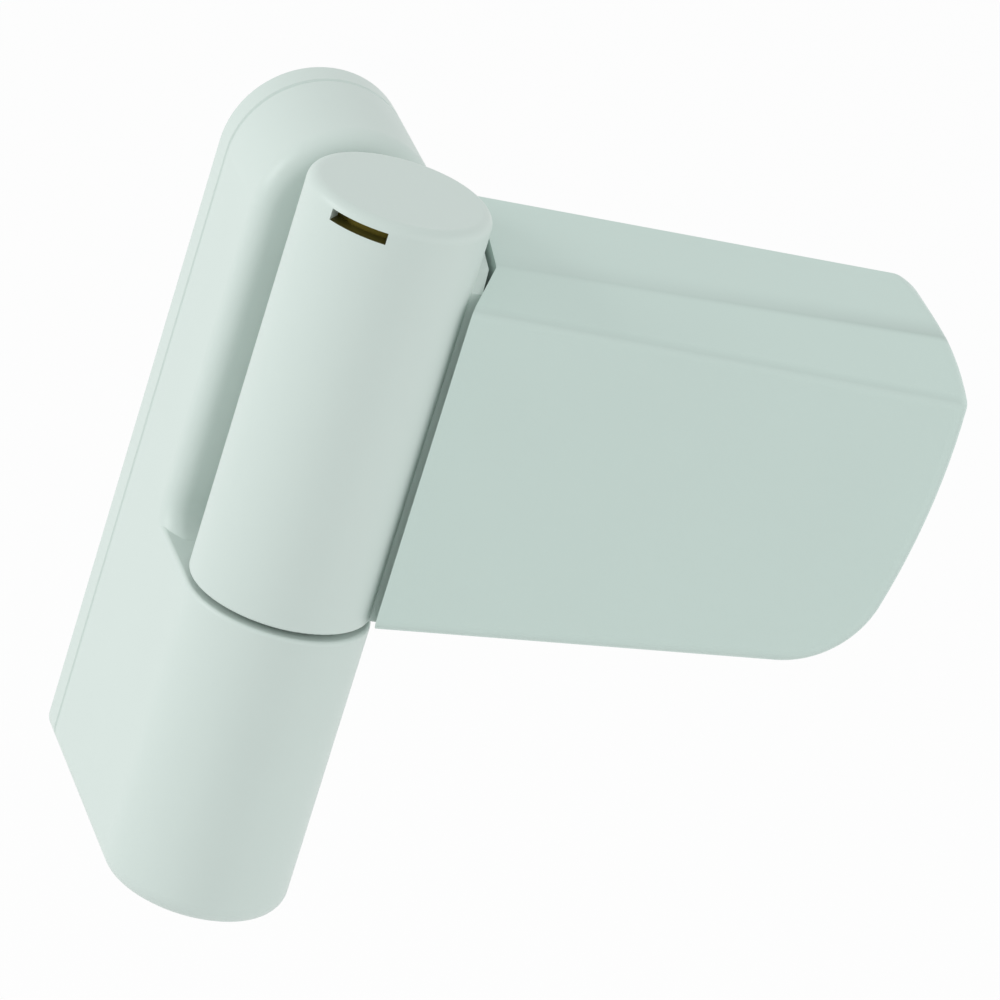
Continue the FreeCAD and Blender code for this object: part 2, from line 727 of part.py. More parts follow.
def round_free_end(body, label, inset):
    """Round the two corners at the flag's free end."""
    for corner, across in (("upper", f"flag_right - {inset}"), ("lower", f"flag_right - end_lean - {inset}")):
        level = value_of(across)

        def corner_edge(edge):
            return edge.BoundBox.YLength > NEAR and abs(middle_of(edge).x - level) < NEAR

        dress(body, "Fillet", f"{label}_{corner}_corner", f"{corner}_corner_round - {inset}", corner_edge)


def flag_base():
    body = new_body("flag_base")
    outline = new_sketch(body, "base_outline", "XZ_Plane", "-flag_back")
    top_fall = "-crease_slope * base_thickness"
    draw_flag_outline(outline, "base_left", "base_inset", top_fall)
    pad(body, outline, "base_thickness")
    round_free_end(body, "base", "base_inset")
    tongue_sizes = ("base_inset + cut_margin", "base_thickness", "arm_height")
    bar(body, "Additive", "tongue", tongue_sizes, ("flag_left + loose_clearance", "base_front", "arm_low"))
    fork_depth = "base_front - lateral_axis + lateral_head_radius"
    at_fork = ("fork_left", f"base_front - ({fork_depth})", "arm_middle - fork_height / 2")
    bar(body, "Additive", "fork", ("fork_thickness", fork_depth, "fork_height"), at_fork)
    fork_slot = "lateral_neck_radius + seat_clearance"
    at_neck = ("fork_left", "lateral_axis", "arm_middle")
    rod(body, "Subtractive", "fork_seat", fork_slot, "fork_thickness", at_neck, "right")
    at_mouth = ("fork_left", "lateral_axis - lateral_head_radius", f"arm_middle - ({fork_slot})")
    mouth_sizes = ("fork_thickness", "lateral_head_radius", f"2 * ({fork_slot})")
    bar(body, "Subtractive", "fork_mouth", mouth_sizes, at_mouth)
    for number in range(2):
        at_hole = (f"clamp_first + {number} * clamp_pitch", "base_front", "arm_middle")
        thread = "clamp_radius + seat_clearance"
        rod(body, "Subtractive", f"clamp_thread_{number}", thread, "base_thickness", at_hole, "back")
    for across in range(2):
        for up in range(2):
            hole = f"door_hole_{across}_{up}"
            level = f"door_hole_low + {up} * door_hole_rise"
            at_hole = (f"door_hole_first + {across} * door_hole_pitch", "base_front", level)
            rod(body, "Subtractive", hole, "door_hole_radius", "base_thickness", at_hole, "back")
            radii = ("door_head_radius", "door_hole_radius")
            cone(body, "Subtractive", hole + "_head", radii, "head_depth", at_hole, "back")
    clip_end = "(clip_first + clip_length - flag_lip_left)"
    clip_low = f"flag_rise + base_inset + bottom_taper * {clip_end}"
    at_clip = ("clip_first", "base_front - clip_reach", clip_low)
    bar(body, "Additive", "lower_clip", ("clip_length", "clip_reach", "clip_thickness"), at_clip)
    clip_fall = "crease_slope * (base_thickness + clip_reach)"
    clip_high = f"flag_top - base_inset - top_taper * {clip_end} - {clip_fall}"
    at_clip = ("clip_first", "base_front - clip_reach", f"{clip_high} - clip_thickness")
    bar(body, "Additive", "upper_clip", ("clip_length", "clip_reach", "clip_thickness"), at_clip)
    return body


def flag_solid(label, inset, overrun):
    """The flag as a full solid, drawn a chosen inset inside the cover and run out past its open back."""
    body = new_body(label)
    outline = new_sketch(body, label + "_outline", "XZ_Plane", f"-flag_back - {overrun}")
    draw_flag_outline(outline, "outline_left", inset, "seam_round")
    pad(body, outline, f"flag_back + flag_front + {overrun} - {inset}")
    round_free_end(body, label, inset)
    left_cut = new_sketch(body, label + "_left", "XY_Plane")
    lip_shift = f"{inset} * sqrt(1 + lip_slope * lip_slope)"
    lip_turn = f"-crease_front - ({lip_shift} - {inset}) / lip_slope"
    draw(
        left_cut,
        (
            ("outline_left - cut_margin", "flag_back + 2 * cut_margin"),
            (f"flag_left + {inset}", "flag_back + 2 * cut_margin"),
            (f"flag_left + {inset}", lip_turn),
            (f"flag_lip_left + {lip_shift} - lip_slope * cut_margin", "-flag_front - cut_margin"),
            ("outline_left - cut_margin", "-flag_front - cut_margin"),
        ),
    )
    cut_through(body, left_cut)
    slopes = new_sketch(body, label + "_slopes", "YZ_Plane")
    crown_shift = f"{inset} * sqrt(1 + crease_slope * crease_slope)"
    bevel_shift = f"{inset} * sqrt(1 + bevel_slope * bevel_slope)"
    crease_shift = f"({bevel_shift} - {crown_shift}) / (bevel_slope - crease_slope)"
    crown = f"flag_top + top_taper * flag_lip_left - {crown_shift}"
    crease = f"{crown} - crease_drop + crease_slope * {crease_shift}"
    ahead = "cut_margin + crease_drift * flag_right"
    lowest = f"{crease} - bevel_slope * (flag_front - crease_front + {ahead} + {crease_shift})"
    above = "flag_top + 2 * cut_margin"
    draw(
        slopes,
        (
            ("flag_back + 2 * cut_margin", f"{crown} + crease_slope * 2 * cut_margin"),
            (f"{crease_shift} - crease_front", crease),
            (f"-flag_front - ({ahead})", lowest),
            (f"-flag_front - ({ahead})", above),
            ("flag_back + 2 * cut_margin", above),
        ),
    )
    cut = cut_through(body, slopes)
    cut.UseCustomVector = True
    bind(cut, "Direction.x", "1")
    bind(cut, "Direction.y", "crease_drift")
    bind(cut, "Direction.z", "crease_slope * crease_drift - top_taper")
    return body


def flag_cover():
    outside = flag_solid("cover_outside", "0", "0")
    front = -value_of("flag_front")
    back = value_of("flag_back")
    middle = value_of("flag_top / 2")

    def top_run(edge):
        short_of_corner = middle_of(edge).x < value_of("flag_right - upper_corner_round")
        box = edge.BoundBox
        return short_of_corner and box.XLength > box.ZLength and middle_of(edge).z > middle

    def bevel_edge(edge):
        return lies_at(edge, "Y", front) and top_run(edge)

    def front_edge(edge):
        left_run = middle_of(edge).x < value_of("flag_left")
        return lies_at(edge, "Y", front) and not top_run(edge) and not left_run

    def crease_edge(edge):
        box = edge.BoundBox
        between = box.YMin > front + NEAR and box.YMax < back - NEAR
        return between and box.XLength > value_of("upper_corner_round") and middle_of(edge).z > middle

    def end_edge(edge):
        box = edge.BoundBox
        at_end = box.XMin > value_of("flag_right - upper_corner_round") - NEAR
        return at_end and box.YLength > NEAR and box.ZLength > NEAR and middle_of(edge).z > middle

    def outer_edge(edge):
        return bevel_edge(edge) or front_edge(edge) or end_edge(edge)

    dress(outside, "Fillet", "crease_edge", "crease_round", crease_edge)
    dress(outside, "Fillet", "outer_edge", "cover_edge_round", outer_edge)
    notch_sizes = ("cover_wall + cut_margin", "flag_back - arm_front", "arm_height")
    at_notch = ("flag_left - cut_margin", "arm_front", "arm_low")
    bar(outside, "Subtractive", "arm_notch", notch_sizes, at_notch)
    cover = doc.addObject("Part::Cut", "flag_cover")
    cover.Label = "flag_cover"
    cover.Base = outside
    cover.Tool = flag_solid("cover_hollow", "cover_wall", "cut_margin")
    return cover


def lateral_screw():
    body = new_body("lateral_screw")
    thread_left = "arm_end - lateral_bite"
    collar_left = "fork_left - lateral_collar_length"
    at_thread = (thread_left, "lateral_axis", "arm_middle")
    shank = f"{collar_left} - ({thread_left})"
    rod(body, "Additive", "lateral_shank", "lateral_radius", shank, at_thread, "right")
    at_collar = (collar_left, "lateral_axis", "arm_middle")
    collar_radius = "lateral_head_radius"
    rod(body, "Additive", "lateral_collar", collar_radius, "lateral_collar_length", at_collar, "right")
    at_neck = ("fork_left", "lateral_axis", "arm_middle")
    rod(body, "Additive", "lateral_neck", "lateral_neck_radius", "fork_thickness", at_neck, "right")
    at_head = ("fork_left + fork_thickness", "lateral_axis", "arm_middle")
    rod(body, "Additive", "lateral_head", "lateral_head_radius", "lateral_head_length", at_head, "right")
    key_left = "fork_left + fork_thickness + lateral_head_length - key_socket_depth"
    at_key = (key_left, "lateral_axis", "arm_middle")
    key_socket(body, "lateral_key", "lateral_neck_radius", "key_socket_depth", at_key, "right")
    return body


def pair_of(label, build_one):
    """Two like pieces in one group, the second a pitch further along the arm."""
    group = doc.addObject("Part::Compound", label)
    group.Label = label
    places = ("clamp_first", "clamp_first + clamp_pitch")
    group.Links = [build_one(f"{label}_{number}", place) for number, place in enumerate(places)]
    return group


def clamp_screw(label, across):
    body = new_body(label)
    at_head = (across, "washer_front - clamp_head_height", "arm_middle")
    rod(body, "Additive", label + "_head", "clamp_head_radius", "clamp_head_height", at_head, "back")
    shank = "flag_back - clamp_tip - washer_front"
    at_shank = (across, "washer_front", "arm_middle")
    rod(body, "Additive", label + "_shank", "clamp_radius", shank, at_shank, "back")
    key_socket(body, label + "_key", "key_socket", "clamp_socket_depth", at_head, "back")
    return body


def clamp_washer(label, across):
    body = new_body(label)
    at_washer = (across, "washer_front", "arm_middle")
    thickness = "clamp_washer_thickness"
    rod(body, "Additive", label + "_outside", "clamp_washer_radius", thickness, at_washer, "back")
    inside = "clamp_radius + loose_clearance"
    rod(body, "Subtractive", label + "_inside", inside, thickness, at_washer, "back")
    return body


FRAME_SIDE = [
    frame_body(),
    frame_packer(),
    hinge_pin(),
    height_screw(),
    pin_lock_screw(),
    bottom_cap(),
    thrust_washer(),
]

DOOR_SIDE = [
    barrel_arm(),
    lower_bush(),
    upper_bush(),
    thrust_disc(),
    adjuster_collar(),
    barrel_cap(),
    flag_base(),
    flag_cover(),
    lateral_screw(),
    pair_of("clamp_screws", clamp_screw),
    pair_of("clamp_washers", clamp_washer),
]

for piece in FRAME_SIDE + DOOR_SIDE:
    bind(piece, ".Placement.Base.y", "-axis_to_frame")
for piece in FRAME_SIDE:
    bind(piece, ".Placement.Base.z", "-leaf_height / 2")
for piece in DOOR_SIDE:
    bind(piece, ".Placement.Base.z", "barrel_foot - leaf_height / 2")
doc.recompute()

for thing in doc.Objects:
    if "Invalid" in thing.State or "Error" in thing.State:
        raise RuntimeError(f"{thing.Label} did not build")
for piece in FRAME_SIDE + DOOR_SIDE:
    if piece.Shape.isNull() or not piece.Shape.isValid():
        raise RuntimeError(f"{piece.Label} has no sound shape")

os.makedirs("parts", exist_ok=True)
for piece in FRAME_SIDE + DOOR_SIDE:
    piece.Shape.exportStep(f"parts/{piece.Label}.step")
    box = piece.Shape.BoundBox
    sizes = f"{box.XLength:.1f} by {box.YLength:.1f} by {box.ZLength:.1f} mm"
    print(f"{piece.Label}: {len(piece.Shape.Solids)} solid, {piece.Shape.Volume:.0f} mm3, {sizes}")
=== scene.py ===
# %% [markdown]
# # A white flag hinge in a plain studio
# The hinge joins a door sash to a door frame. An arched leaf with a lower knuckle stays on the frame, and
# a barrel with a flag swings round the pin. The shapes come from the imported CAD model. This script gives
# every piece its finish and adds one small web, then sets up the floor, the light and the camera.

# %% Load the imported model
import json
import math

import bpy
from mathutils import Matrix, Vector


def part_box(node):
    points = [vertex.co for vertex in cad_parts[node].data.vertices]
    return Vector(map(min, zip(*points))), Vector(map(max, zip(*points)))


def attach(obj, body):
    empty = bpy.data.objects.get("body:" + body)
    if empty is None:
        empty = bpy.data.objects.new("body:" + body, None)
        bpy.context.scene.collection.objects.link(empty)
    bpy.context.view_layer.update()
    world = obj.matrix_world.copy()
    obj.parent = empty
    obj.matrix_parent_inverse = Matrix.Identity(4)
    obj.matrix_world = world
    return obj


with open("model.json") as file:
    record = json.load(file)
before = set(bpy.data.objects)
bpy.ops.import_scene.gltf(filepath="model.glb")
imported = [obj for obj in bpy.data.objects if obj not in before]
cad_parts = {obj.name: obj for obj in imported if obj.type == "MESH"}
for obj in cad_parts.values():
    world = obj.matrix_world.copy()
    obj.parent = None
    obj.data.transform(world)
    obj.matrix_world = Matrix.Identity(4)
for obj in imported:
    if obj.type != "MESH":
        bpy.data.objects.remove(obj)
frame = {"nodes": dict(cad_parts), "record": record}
nodes = frame["nodes"]
scene = bpy.context.scene
scene.view_settings.view_transform = "Standard"
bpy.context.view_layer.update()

# %% [markdown]
# ## Places that several steps need
# A line in a finish has to sit on the shape that it belongs to, so places are read from the pieces' boxes
# where they can be. The crease of the cover can't be read from a box, so its place is written here as in
# the CAD model. Blender works in metres, and the named millimetre keeps the numbers readable.

# %% Read the places
MM = 0.001
cover_low, cover_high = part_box("flag_cover")
pin_low, pin_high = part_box("hinge_pin")
axis_y = (pin_low.y + pin_high.y) / 2
crease_start = axis_y - 1.5 * MM
crease_drift = 0.03
print("hinge axis at y", round(1000 * axis_y, 2), "mm")
print("cover", [round(1000 * v, 1) for v in cover_high - cover_low], "mm")

# %% [markdown]
# ## Small helpers for shader trees
# A material is a tree of nodes with links. These helpers add a node, set its plain values and join two
# sockets, so that each finish below reads as a short list of steps.

# %% Make the shader helpers
def add_node(tree, kind, label, **values):
    node = tree.nodes.new(kind)
    node.name = label
    node.label = label
    for name, value in values.items():
        setattr(node, name, value)
    return node


def set_inputs(node, **values):
    for name, value in values.items():
        node.inputs[name.replace("_", " ")].default_value = value
    return node


def join(tree, source, target):
    tree.links.new(source, target)


def maths(tree, operation, label, first, second=None, clamp=False):
    node = add_node(tree, "ShaderNodeMath", label, operation=operation, use_clamp=clamp)
    for socket, value in zip(node.inputs, (first, second)):
        if isinstance(value, bpy.types.NodeSocket):
            join(tree, value, socket)
        elif value is not None:
            socket.default_value = value
    return node.outputs[0]


def split(tree, output):
    place = add_node(tree, "ShaderNodeTexCoord", "Place")
    parts = add_node(tree, "ShaderNodeSeparateXYZ", f"{output} in parts")
    join(tree, place.outputs[output], parts.inputs["Vector"])
    return parts


def new_group(name, inputs, outputs):
    tree = bpy.data.node_groups.new(name, "ShaderNodeTree")
    kinds = {"colour": "NodeSocketColor", "value": "NodeSocketFloat", "vector": "NodeSocketVector"}
    for label, kind, start in inputs:
        socket = tree.interface.new_socket(label, in_out="INPUT", socket_type=kinds[kind])
        socket.default_value = start
    for label, kind in outputs:
        tree.interface.new_socket(label, in_out="OUTPUT", socket_type=kinds[kind])
    return tree, add_node(tree, "NodeGroupInput", "Inputs"), add_node(tree, "NodeGroupOutput", "Outputs")


print("helpers ready")

# %% [markdown]
# ## The white coat as a shared group
# Powder coat is sprayed as dust and melted into a skin. It isn't perfectly flat: it has a fine
# orange-peel ripple, and its tone and gloss drift a little. The group gives out a colour, a roughness and
# a normal, and several materials use it, so the ripple is tuned in one place. Two noises are enough: a
# broad one for the drift and a fine one for the ripple.

# %% Build the coat group
coat, coat_in, coat_out = new_group(
    "sprayed_coat",
    [
        ("Colour", "colour", (0.7, 0.7, 0.7, 1)),
        ("Gloss", "value", 0.4),
        ("Ripple", "value", 0.05),
        ("Drift", "value", 0.03),
    ],
    [("Colour", "colour"), ("Roughness", "value"), ("Normal", "vector")],
)
RIPPLE_HEIGHT = 0.04 * MM
place = add_node(coat, "ShaderNodeTexCoord", "Place")
broad = set_inputs(add_node(coat, "ShaderNodeTexNoise", "Broad drift"), Scale=55.0, Detail=2.0)
join(coat, place.outputs["Object"], broad.inputs["Vector"])
fine = set_inputs(add_node(coat, "ShaderNodeTexNoise", "Fine ripple"), Scale=1700.0, Detail=1.5)
join(coat, place.outputs["Object"], fine.inputs["Vector"])
shift = maths(coat, "SUBTRACT", "Drift about zero", broad.outputs["Fac"], 0.5)
shift = maths(coat, "MULTIPLY", "Drift strength", shift, coat_in.outputs["Drift"])
tone = maths(coat, "ADD", "Tone", shift, 1.0)
tinted = add_node(coat, "ShaderNodeVectorMath", "Tinted colour", operation="SCALE")
join(coat, coat_in.outputs["Colour"], tinted.inputs[0])
join(coat, tone, tinted.inputs["Scale"])
join(coat, tinted.outputs["Vector"], coat_out.inputs["Colour"])
gloss = maths(coat, "ADD", "Gloss drift", coat_in.outputs["Gloss"], shift)
join(coat, gloss, coat_out.inputs["Roughness"])
ripple = set_inputs(add_node(coat, "ShaderNodeBump", "Orange peel"), Distance=RIPPLE_HEIGHT)
join(coat, fine.outputs["Fac"], ripple.inputs["Height"])
join(coat, coat_in.outputs["Ripple"], ripple.inputs["Strength"])
join(coat, ripple.outputs["Normal"], coat_out.inputs["Normal"])
print("coat group with", len(coat.nodes), "nodes")

# %% [markdown]
# ## Turned metal as a shared group
# The pin, the screws and the brass collar are turned on a lathe, which leaves fine rings round their
# axis. A noise that is squeezed along the upright axis gives such rings on upright pieces, without a
# picture. The group puts out a roughness and a normal, and the metal's own colour stays with each
# material.

# %% Build the turned-metal group
turned, turned_in, turned_out = new_group(
    "turned_rings",
    [("Gloss", "value", 0.3), ("Rings", "value", 0.1)],
    [("Roughness", "value"), ("Normal", "vector")],
)
RING_SQUEEZE = (40, 40, 9000)
RING_CONTRAST = 0.12
RING_HEIGHT = 0.02 * MM
place = add_node(turned, "ShaderNodeTexCoord", "Place")
squeeze = set_inputs(add_node(turned, "ShaderNodeMapping", "Squeeze into rings"), Scale=RING_SQUEEZE)
join(turned, place.outputs["Object"], squeeze.inputs["Vector"])
rings = set_inputs(add_node(turned, "ShaderNodeTexNoise", "Rings"), Scale=1.0, Detail=2.0)
join(turned, squeeze.outputs["Vector"], rings.inputs["Vector"])
spread = maths(turned, "MULTIPLY", "Ring contrast", rings.outputs["Fac"], RING_CONTRAST)
gloss = maths(turned, "ADD", "Ring gloss", turned_in.outputs["Gloss"], spread)
join(turned, gloss, turned_out.inputs["Roughness"])
groove = set_inputs(add_node(turned, "ShaderNodeBump", "Ring grooves"), Distance=RING_HEIGHT)
join(turned, rings.outputs["Fac"], groove.inputs["Height"])
join(turned, turned_in.outputs["Rings"], groove.inputs["Strength"])
join(turned, groove.outputs["Normal"], turned_out.inputs["Normal"])
print("turned-metal group with", len(turned.nodes), "nodes")

# %% [markdown]
# ## A soft line as a shared group
# The cover gets a faint line of painted shade along its fold, and another along the edge of its front. The
# group gives out a mask for such a line: one on the line, fading to nothing over a chosen width on either
# side. The line may lean with X, so the group takes its start and its drift. It is placed twice in the
# cover's material.

# %% Build the soft-line group
line, line_in, line_out = new_group(
    "soft_line",
    [
        ("Start", "value", 0.0),
        ("Drift", "value", 0.0),
        ("Front width", "value", 0.001),
        ("Back width", "value", 0.001),
    ],
    [("Mask", "value")],
)
FADE_POWER = 1.6
parts = split(line, "Object")
lean = maths(line, "MULTIPLY", "Lean", parts.outputs["X"], line_in.outputs["Drift"])
middle = maths(line, "ADD", "Middle of the line", lean, line_in.outputs["Start"])
away = maths(line, "SUBTRACT", "Away from the line", parts.outputs["Y"], middle)
behind = maths(line, "DIVIDE", "Behind", away, line_in.outputs["Back width"])
ahead = maths(line, "DIVIDE", "Ahead", away, line_in.outputs["Front width"])
ahead = maths(line, "MULTIPLY", "Ahead turned", ahead, -1.0)
reach = maths(line, "MAXIMUM", "Share of the width", behind, ahead)
fade = maths(line, "SUBTRACT", "Fade", 1.0, reach, clamp=True)
join(line, maths(line, "POWER", "Soft fade", fade, FADE_POWER), line_out.inputs["Mask"])
print("soft-line group with", len(line.nodes), "nodes")

# %% [markdown]
# ## Pale finishes
# Most of what shows is white, but not all the same white: the packer and the caps have a smoother skin
# than the castings and the cover, which follow below. The plate under the cover is grey zinc. Each
# material keeps its own shader and takes its colour, roughness and normal from the coat group, so one
# function makes them all.

# %% Make the pale materials
def new_material(name):
    material = bpy.data.materials.new(name)
    material.use_nodes = True
    tree = material.node_tree
    return material, tree, tree.nodes["Principled BSDF"]


def use_group(tree, group, label, **values):
    node = add_node(tree, "ShaderNodeGroup", label, node_tree=group)
    return set_inputs(node, **values)


def add_skin(tree, shader, colour, gloss, ripple, drift):
    skin = use_group(tree, coat, "Skin", Colour=(*colour, 1), Gloss=gloss, Ripple=ripple, Drift=drift)
    for output, socket in (("Colour", "Base Color"), ("Roughness", "Roughness"), ("Normal", "Normal")):
        join(tree, skin.outputs[output], shader.inputs[socket])
    return skin


def pale_finish(name, colour, gloss, ripple, drift):
    material, tree, shader = new_material(name)
    skin = add_skin(tree, shader, colour, gloss, ripple, drift)
    shader.inputs["IOR"].default_value = 1.5
    shader.inputs["Specular IOR Level"].default_value = 0.4
    return material, tree, shader, skin


WHITE = (0.65, 0.735, 0.695)
ZINC_GREY = (0.52, 0.55, 0.54)
finishes = {}
finishes["coated_packer"] = pale_finish("coated_packer", WHITE, gloss=0.36, ripple=0.03, drift=0.02)[0]
finishes["cap_plastic"] = pale_finish("cap_plastic", WHITE, gloss=0.40, ripple=0.03, drift=0.02)[0]
finishes["zinc_base"] = pale_finish("zinc_base", ZINC_GREY, gloss=0.5, ripple=0.15, drift=0.06)[0]
print("pale finishes:", sorted(finishes))

# %% [markdown]
# ## The castings' finish
# The barrel's upper face lies under the cap, and the slot in the cap shows it as a dark olive floor. That
# olive is painted shade in the slot. A second mesh isn't needed for it: a mask finds that face, because it
# faces up and lies at the level of the cap's lower side.

# %% Make the castings' material
# Painted shade: the seat face seen through the cap's slot is coloured dark olive.
SLOT_SHADE_OLIVE = (0.075, 0.065, 0.012, 1)
SEAT_BAND = 0.05 * MM
FACING_UP = 0.9
seat_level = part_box("barrel_cap")[0].z
material, tree, shader, skin = pale_finish("coated_metal", WHITE, gloss=0.42, ripple=0.10, drift=0.03)
parts = split(tree, "Object")
facing = split(tree, "Normal")
level = maths(tree, "SUBTRACT", "Above the seat", parts.outputs["Z"], seat_level)
level = maths(tree, "ABSOLUTE", "Off the seat", level)
near = maths(tree, "LESS_THAN", "At the seat", level, SEAT_BAND)
upward = maths(tree, "GREATER_THAN", "Facing up", facing.outputs["Z"], FACING_UP)
# This mask marks where the painted shade in the slot goes.
painted_slot_shade = maths(tree, "MULTIPLY", "Painted shade in the slot", near, upward)
blend = add_node(tree, "ShaderNodeMix", "Coat or painted slot shade", data_type="RGBA")
blend.inputs["B"].default_value = SLOT_SHADE_OLIVE
join(tree, painted_slot_shade, blend.inputs["Factor"])
join(tree, skin.outputs["Colour"], blend.inputs["A"])
join(tree, blend.outputs["Result"], shader.inputs["Base Color"])
finishes["coated_metal"] = material
print("castings finish with", len(tree.nodes), "nodes")

# %% [markdown]
# ## The cover's finish
# The cover's top falls away to a fold and then to the bevel. The fold's shade is wide on the side towards
# the door and narrow on the bevel side, and it deepens towards the free end. The edge where the bevel
# meets the front has a thinner shade. Both are masks that darken the coat's colour a little, so no
# picture of the cover is needed.

# %% Make the cover's material
COVER_WHITE = (0.63, 0.75, 0.70)
# Painted shade: how much the fold and the front rim darken the cover's colour.
FOLD_SHADE_AT_BARREL = 0.04
FOLD_SHADE_AT_FREE_END = 0.18
RIM_SHADE = 0.10
rim_start = cover_low.y + 0.35 * MM
material, tree, shader, skin = pale_finish("coated_cover", COVER_WHITE, gloss=0.42, ripple=0.10, drift=0.03)
fold = use_group(tree, line, "Fold", Start=crease_start, Drift=crease_drift)
set_inputs(fold, Front_width=0.7 * MM, Back_width=3.5 * MM)
rim = use_group(tree, line, "Front rim", Start=rim_start, Drift=0.0)
set_inputs(rim, Front_width=0.6 * MM, Back_width=0.8 * MM)
parts = split(tree, "Object")
along = add_node(tree, "ShaderNodeMapRange", "Deeper to the free end")
set_inputs(along, From_Min=cover_low.x, From_Max=cover_high.x)
set_inputs(along, To_Min=FOLD_SHADE_AT_BARREL, To_Max=FOLD_SHADE_AT_FREE_END)
join(tree, parts.outputs["X"], along.inputs["Value"])
deep = maths(tree, "MULTIPLY", "Fold depth", fold.outputs["Mask"], along.outputs["Result"])
thin = maths(tree, "MULTIPLY", "Rim depth", rim.outputs["Mask"], RIM_SHADE)
shade = maths(tree, "ADD", "Shade", deep, thin)
left_over = maths(tree, "SUBTRACT", "Light left", 1.0, shade)
toned = add_node(tree, "ShaderNodeVectorMath", "Shaded colour", operation="SCALE")
join(tree, skin.outputs["Colour"], toned.inputs[0])
join(tree, left_over, toned.inputs["Scale"])
join(tree, toned.outputs["Vector"], shader.inputs["Base Color"])
finishes["coated_cover"] = material
print("cover finish with", len(tree.nodes), "nodes")

# %% [markdown]
# ## Metal and bearing finishes
# Inside the hinge are a plated steel pin and screws, a brass collar that shows through the slot in the
# barrel's cap, and dark bearing plastic. The brass is given a darkened colour, which is painted shade for
# the collar deep in the slot. The metals share the turned rings and differ in colour and gloss. The bearing
# plastic borrows the coat group's skin in black.

# %% Make the metal and bearing materials
def metal_finish(name, colour, gloss, ring_strength):
    material, tree, shader = new_material(name)
    lathe = use_group(tree, turned, "Lathe rings", Gloss=gloss, Rings=ring_strength)
    shader.inputs["Base Color"].default_value = (*colour, 1)
    shader.inputs["Metallic"].default_value = 1.0
    join(tree, lathe.outputs["Roughness"], shader.inputs["Roughness"])
    join(tree, lathe.outputs["Normal"], shader.inputs["Normal"])
    return material


STEEL_GREY = (0.60, 0.60, 0.58)
# The brass colour is darkened as painted shade, for the collar seen deep in the slot.
BRASS_IN_PAINTED_SHADE = (0.19, 0.16, 0.03)
BEARING_BLACK = (0.03, 0.03, 0.03)
finishes["steel"] = metal_finish("steel", STEEL_GREY, gloss=0.28, ring_strength=0.15)
finishes["brass"] = metal_finish("brass", BRASS_IN_PAINTED_SHADE, gloss=0.42, ring_strength=0.15)
material, tree, shader = new_material("bush_plastic")
add_skin(tree, shader, BEARING_BLACK, gloss=0.55, ripple=0.05, drift=0.05)
finishes["bush_plastic"] = material
print("all finishes:", sorted(finishes))

# %% [markdown]
# ## Give every piece its finish
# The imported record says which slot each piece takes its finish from, so one loop dresses all of them.

# %% Dress the pieces
for entry in frame["record"]["subparts"]:
    piece = nodes[entry["node"]]
    piece.data.materials.clear()
    piece.data.materials.append(finishes[entry["material_slot"]])
print({name: piece.data.materials[0].name for name, piece in sorted(nodes.items())})

# %% [markdown]
# ## The web in the gap
# A narrow web fills most of the gap between the barrel and the cover. It leaves a shallow groove, which
# reads as a thin dark line from the front. A plain mesh is enough for it, because little of it shows. The
# cover's wall and slopes are written as in the CAD model, because a box doesn't give them. The web's plan
# has six points, and each gives a lower and an upper vertex. The upper ones follow the slopes of the
# cover's top, one step lower. The web turns with the flag.

# %% Plan the web
GROOVE_DEPTH = 2.8 * MM
TOP_STEP = 0.5 * MM
TOP_GAP = 0.8 * MM
FOOT_STEP = 0.1 * MM
wall_left = 13.1 * MM
crease_fall = 3.1 * MM
bevel_fall = 3.2 * MM
bevel_run = crease_start - cover_low.y
web_left = 8.5 * MM
web_front = cover_low.y + GROOVE_DEPTH
web_front_right = cover_low.x + (wall_left - cover_low.x) * GROOVE_DEPTH / bevel_run
web_right = wall_left - TOP_GAP
web_back = axis_y + 3.6 * MM
web_foot = max(cover_low.z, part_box("barrel_arm")[0].z) + FOOT_STEP
plan = [
    (web_left, web_front),
    (web_front_right, web_front),
    (web_right, crease_start),
    (web_right, web_back),
    (web_left, web_back),
    (web_left, crease_start),
]
print("web plan", [(round(1000 * x, 1), round(1000 * y, 1)) for x, y in plan], "mm")

# %% [markdown]
# ## From the plan to a mesh
# A mesh needs its vertices and, for each face, the numbers of its corners. The side faces go round the
# plan in a loop. The top is bent along the crease, so it is two faces that share the crease's two points.

# %% Build the web
def cover_top(y):
    if y > crease_start:
        return cover_high.z - crease_fall * (cover_high.y - y) / (cover_high.y - crease_start)
    return cover_high.z - crease_fall - bevel_fall * (crease_start - y) / bevel_run


count = len(plan)
lower = [(x, y, web_foot) for x, y in plan]
upper = [(x, y, cover_top(y) - TOP_STEP) for x, y in plan]
foot = tuple(reversed(range(count)))
sides = [(i, (i + 1) % count, (i + 1) % count + count, i + count) for i in range(count)]
before_crease = (0, 1, 2, 5)
behind_crease = (5, 2, 3, 4)
tops = [tuple(count + corner for corner in face) for face in (before_crease, behind_crease)]
mesh = bpy.data.meshes.new("neck_web")
mesh.from_pydata(lower + upper, [], [foot] + sides + tops)
mesh.materials.append(finishes["cap_plastic"])
web = bpy.data.objects.new("neck_web", mesh)
scene.collection.objects.link(web)
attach(web, "flag_leaf")
print("web", [round(1000 * v, 1) for v in web.dimensions], "mm")

# %% [markdown]
# ## Floor
# A wide pale floor lies well below the hinge, which hangs on a door frame in use. Rays from the camera,
# and rays that were mirrored or went through glass, see it as almost pure white. The small rest is the
# lit floor, which keeps the hinge's shadow.

# %% Build the floor
def seen_rays(tree):
    rays = add_node(tree, "ShaderNodeLightPath", "Rays")
    kinds = ("Camera", "Glossy", "Transmission")
    direct, mirrored, through = (rays.outputs[f"Is {kind} Ray"] for kind in kinds)
    seen = maths(tree, "MAXIMUM", "Seen or mirrored", direct, mirrored)
    return maths(tree, "MAXIMUM", "Seen through", seen, through)


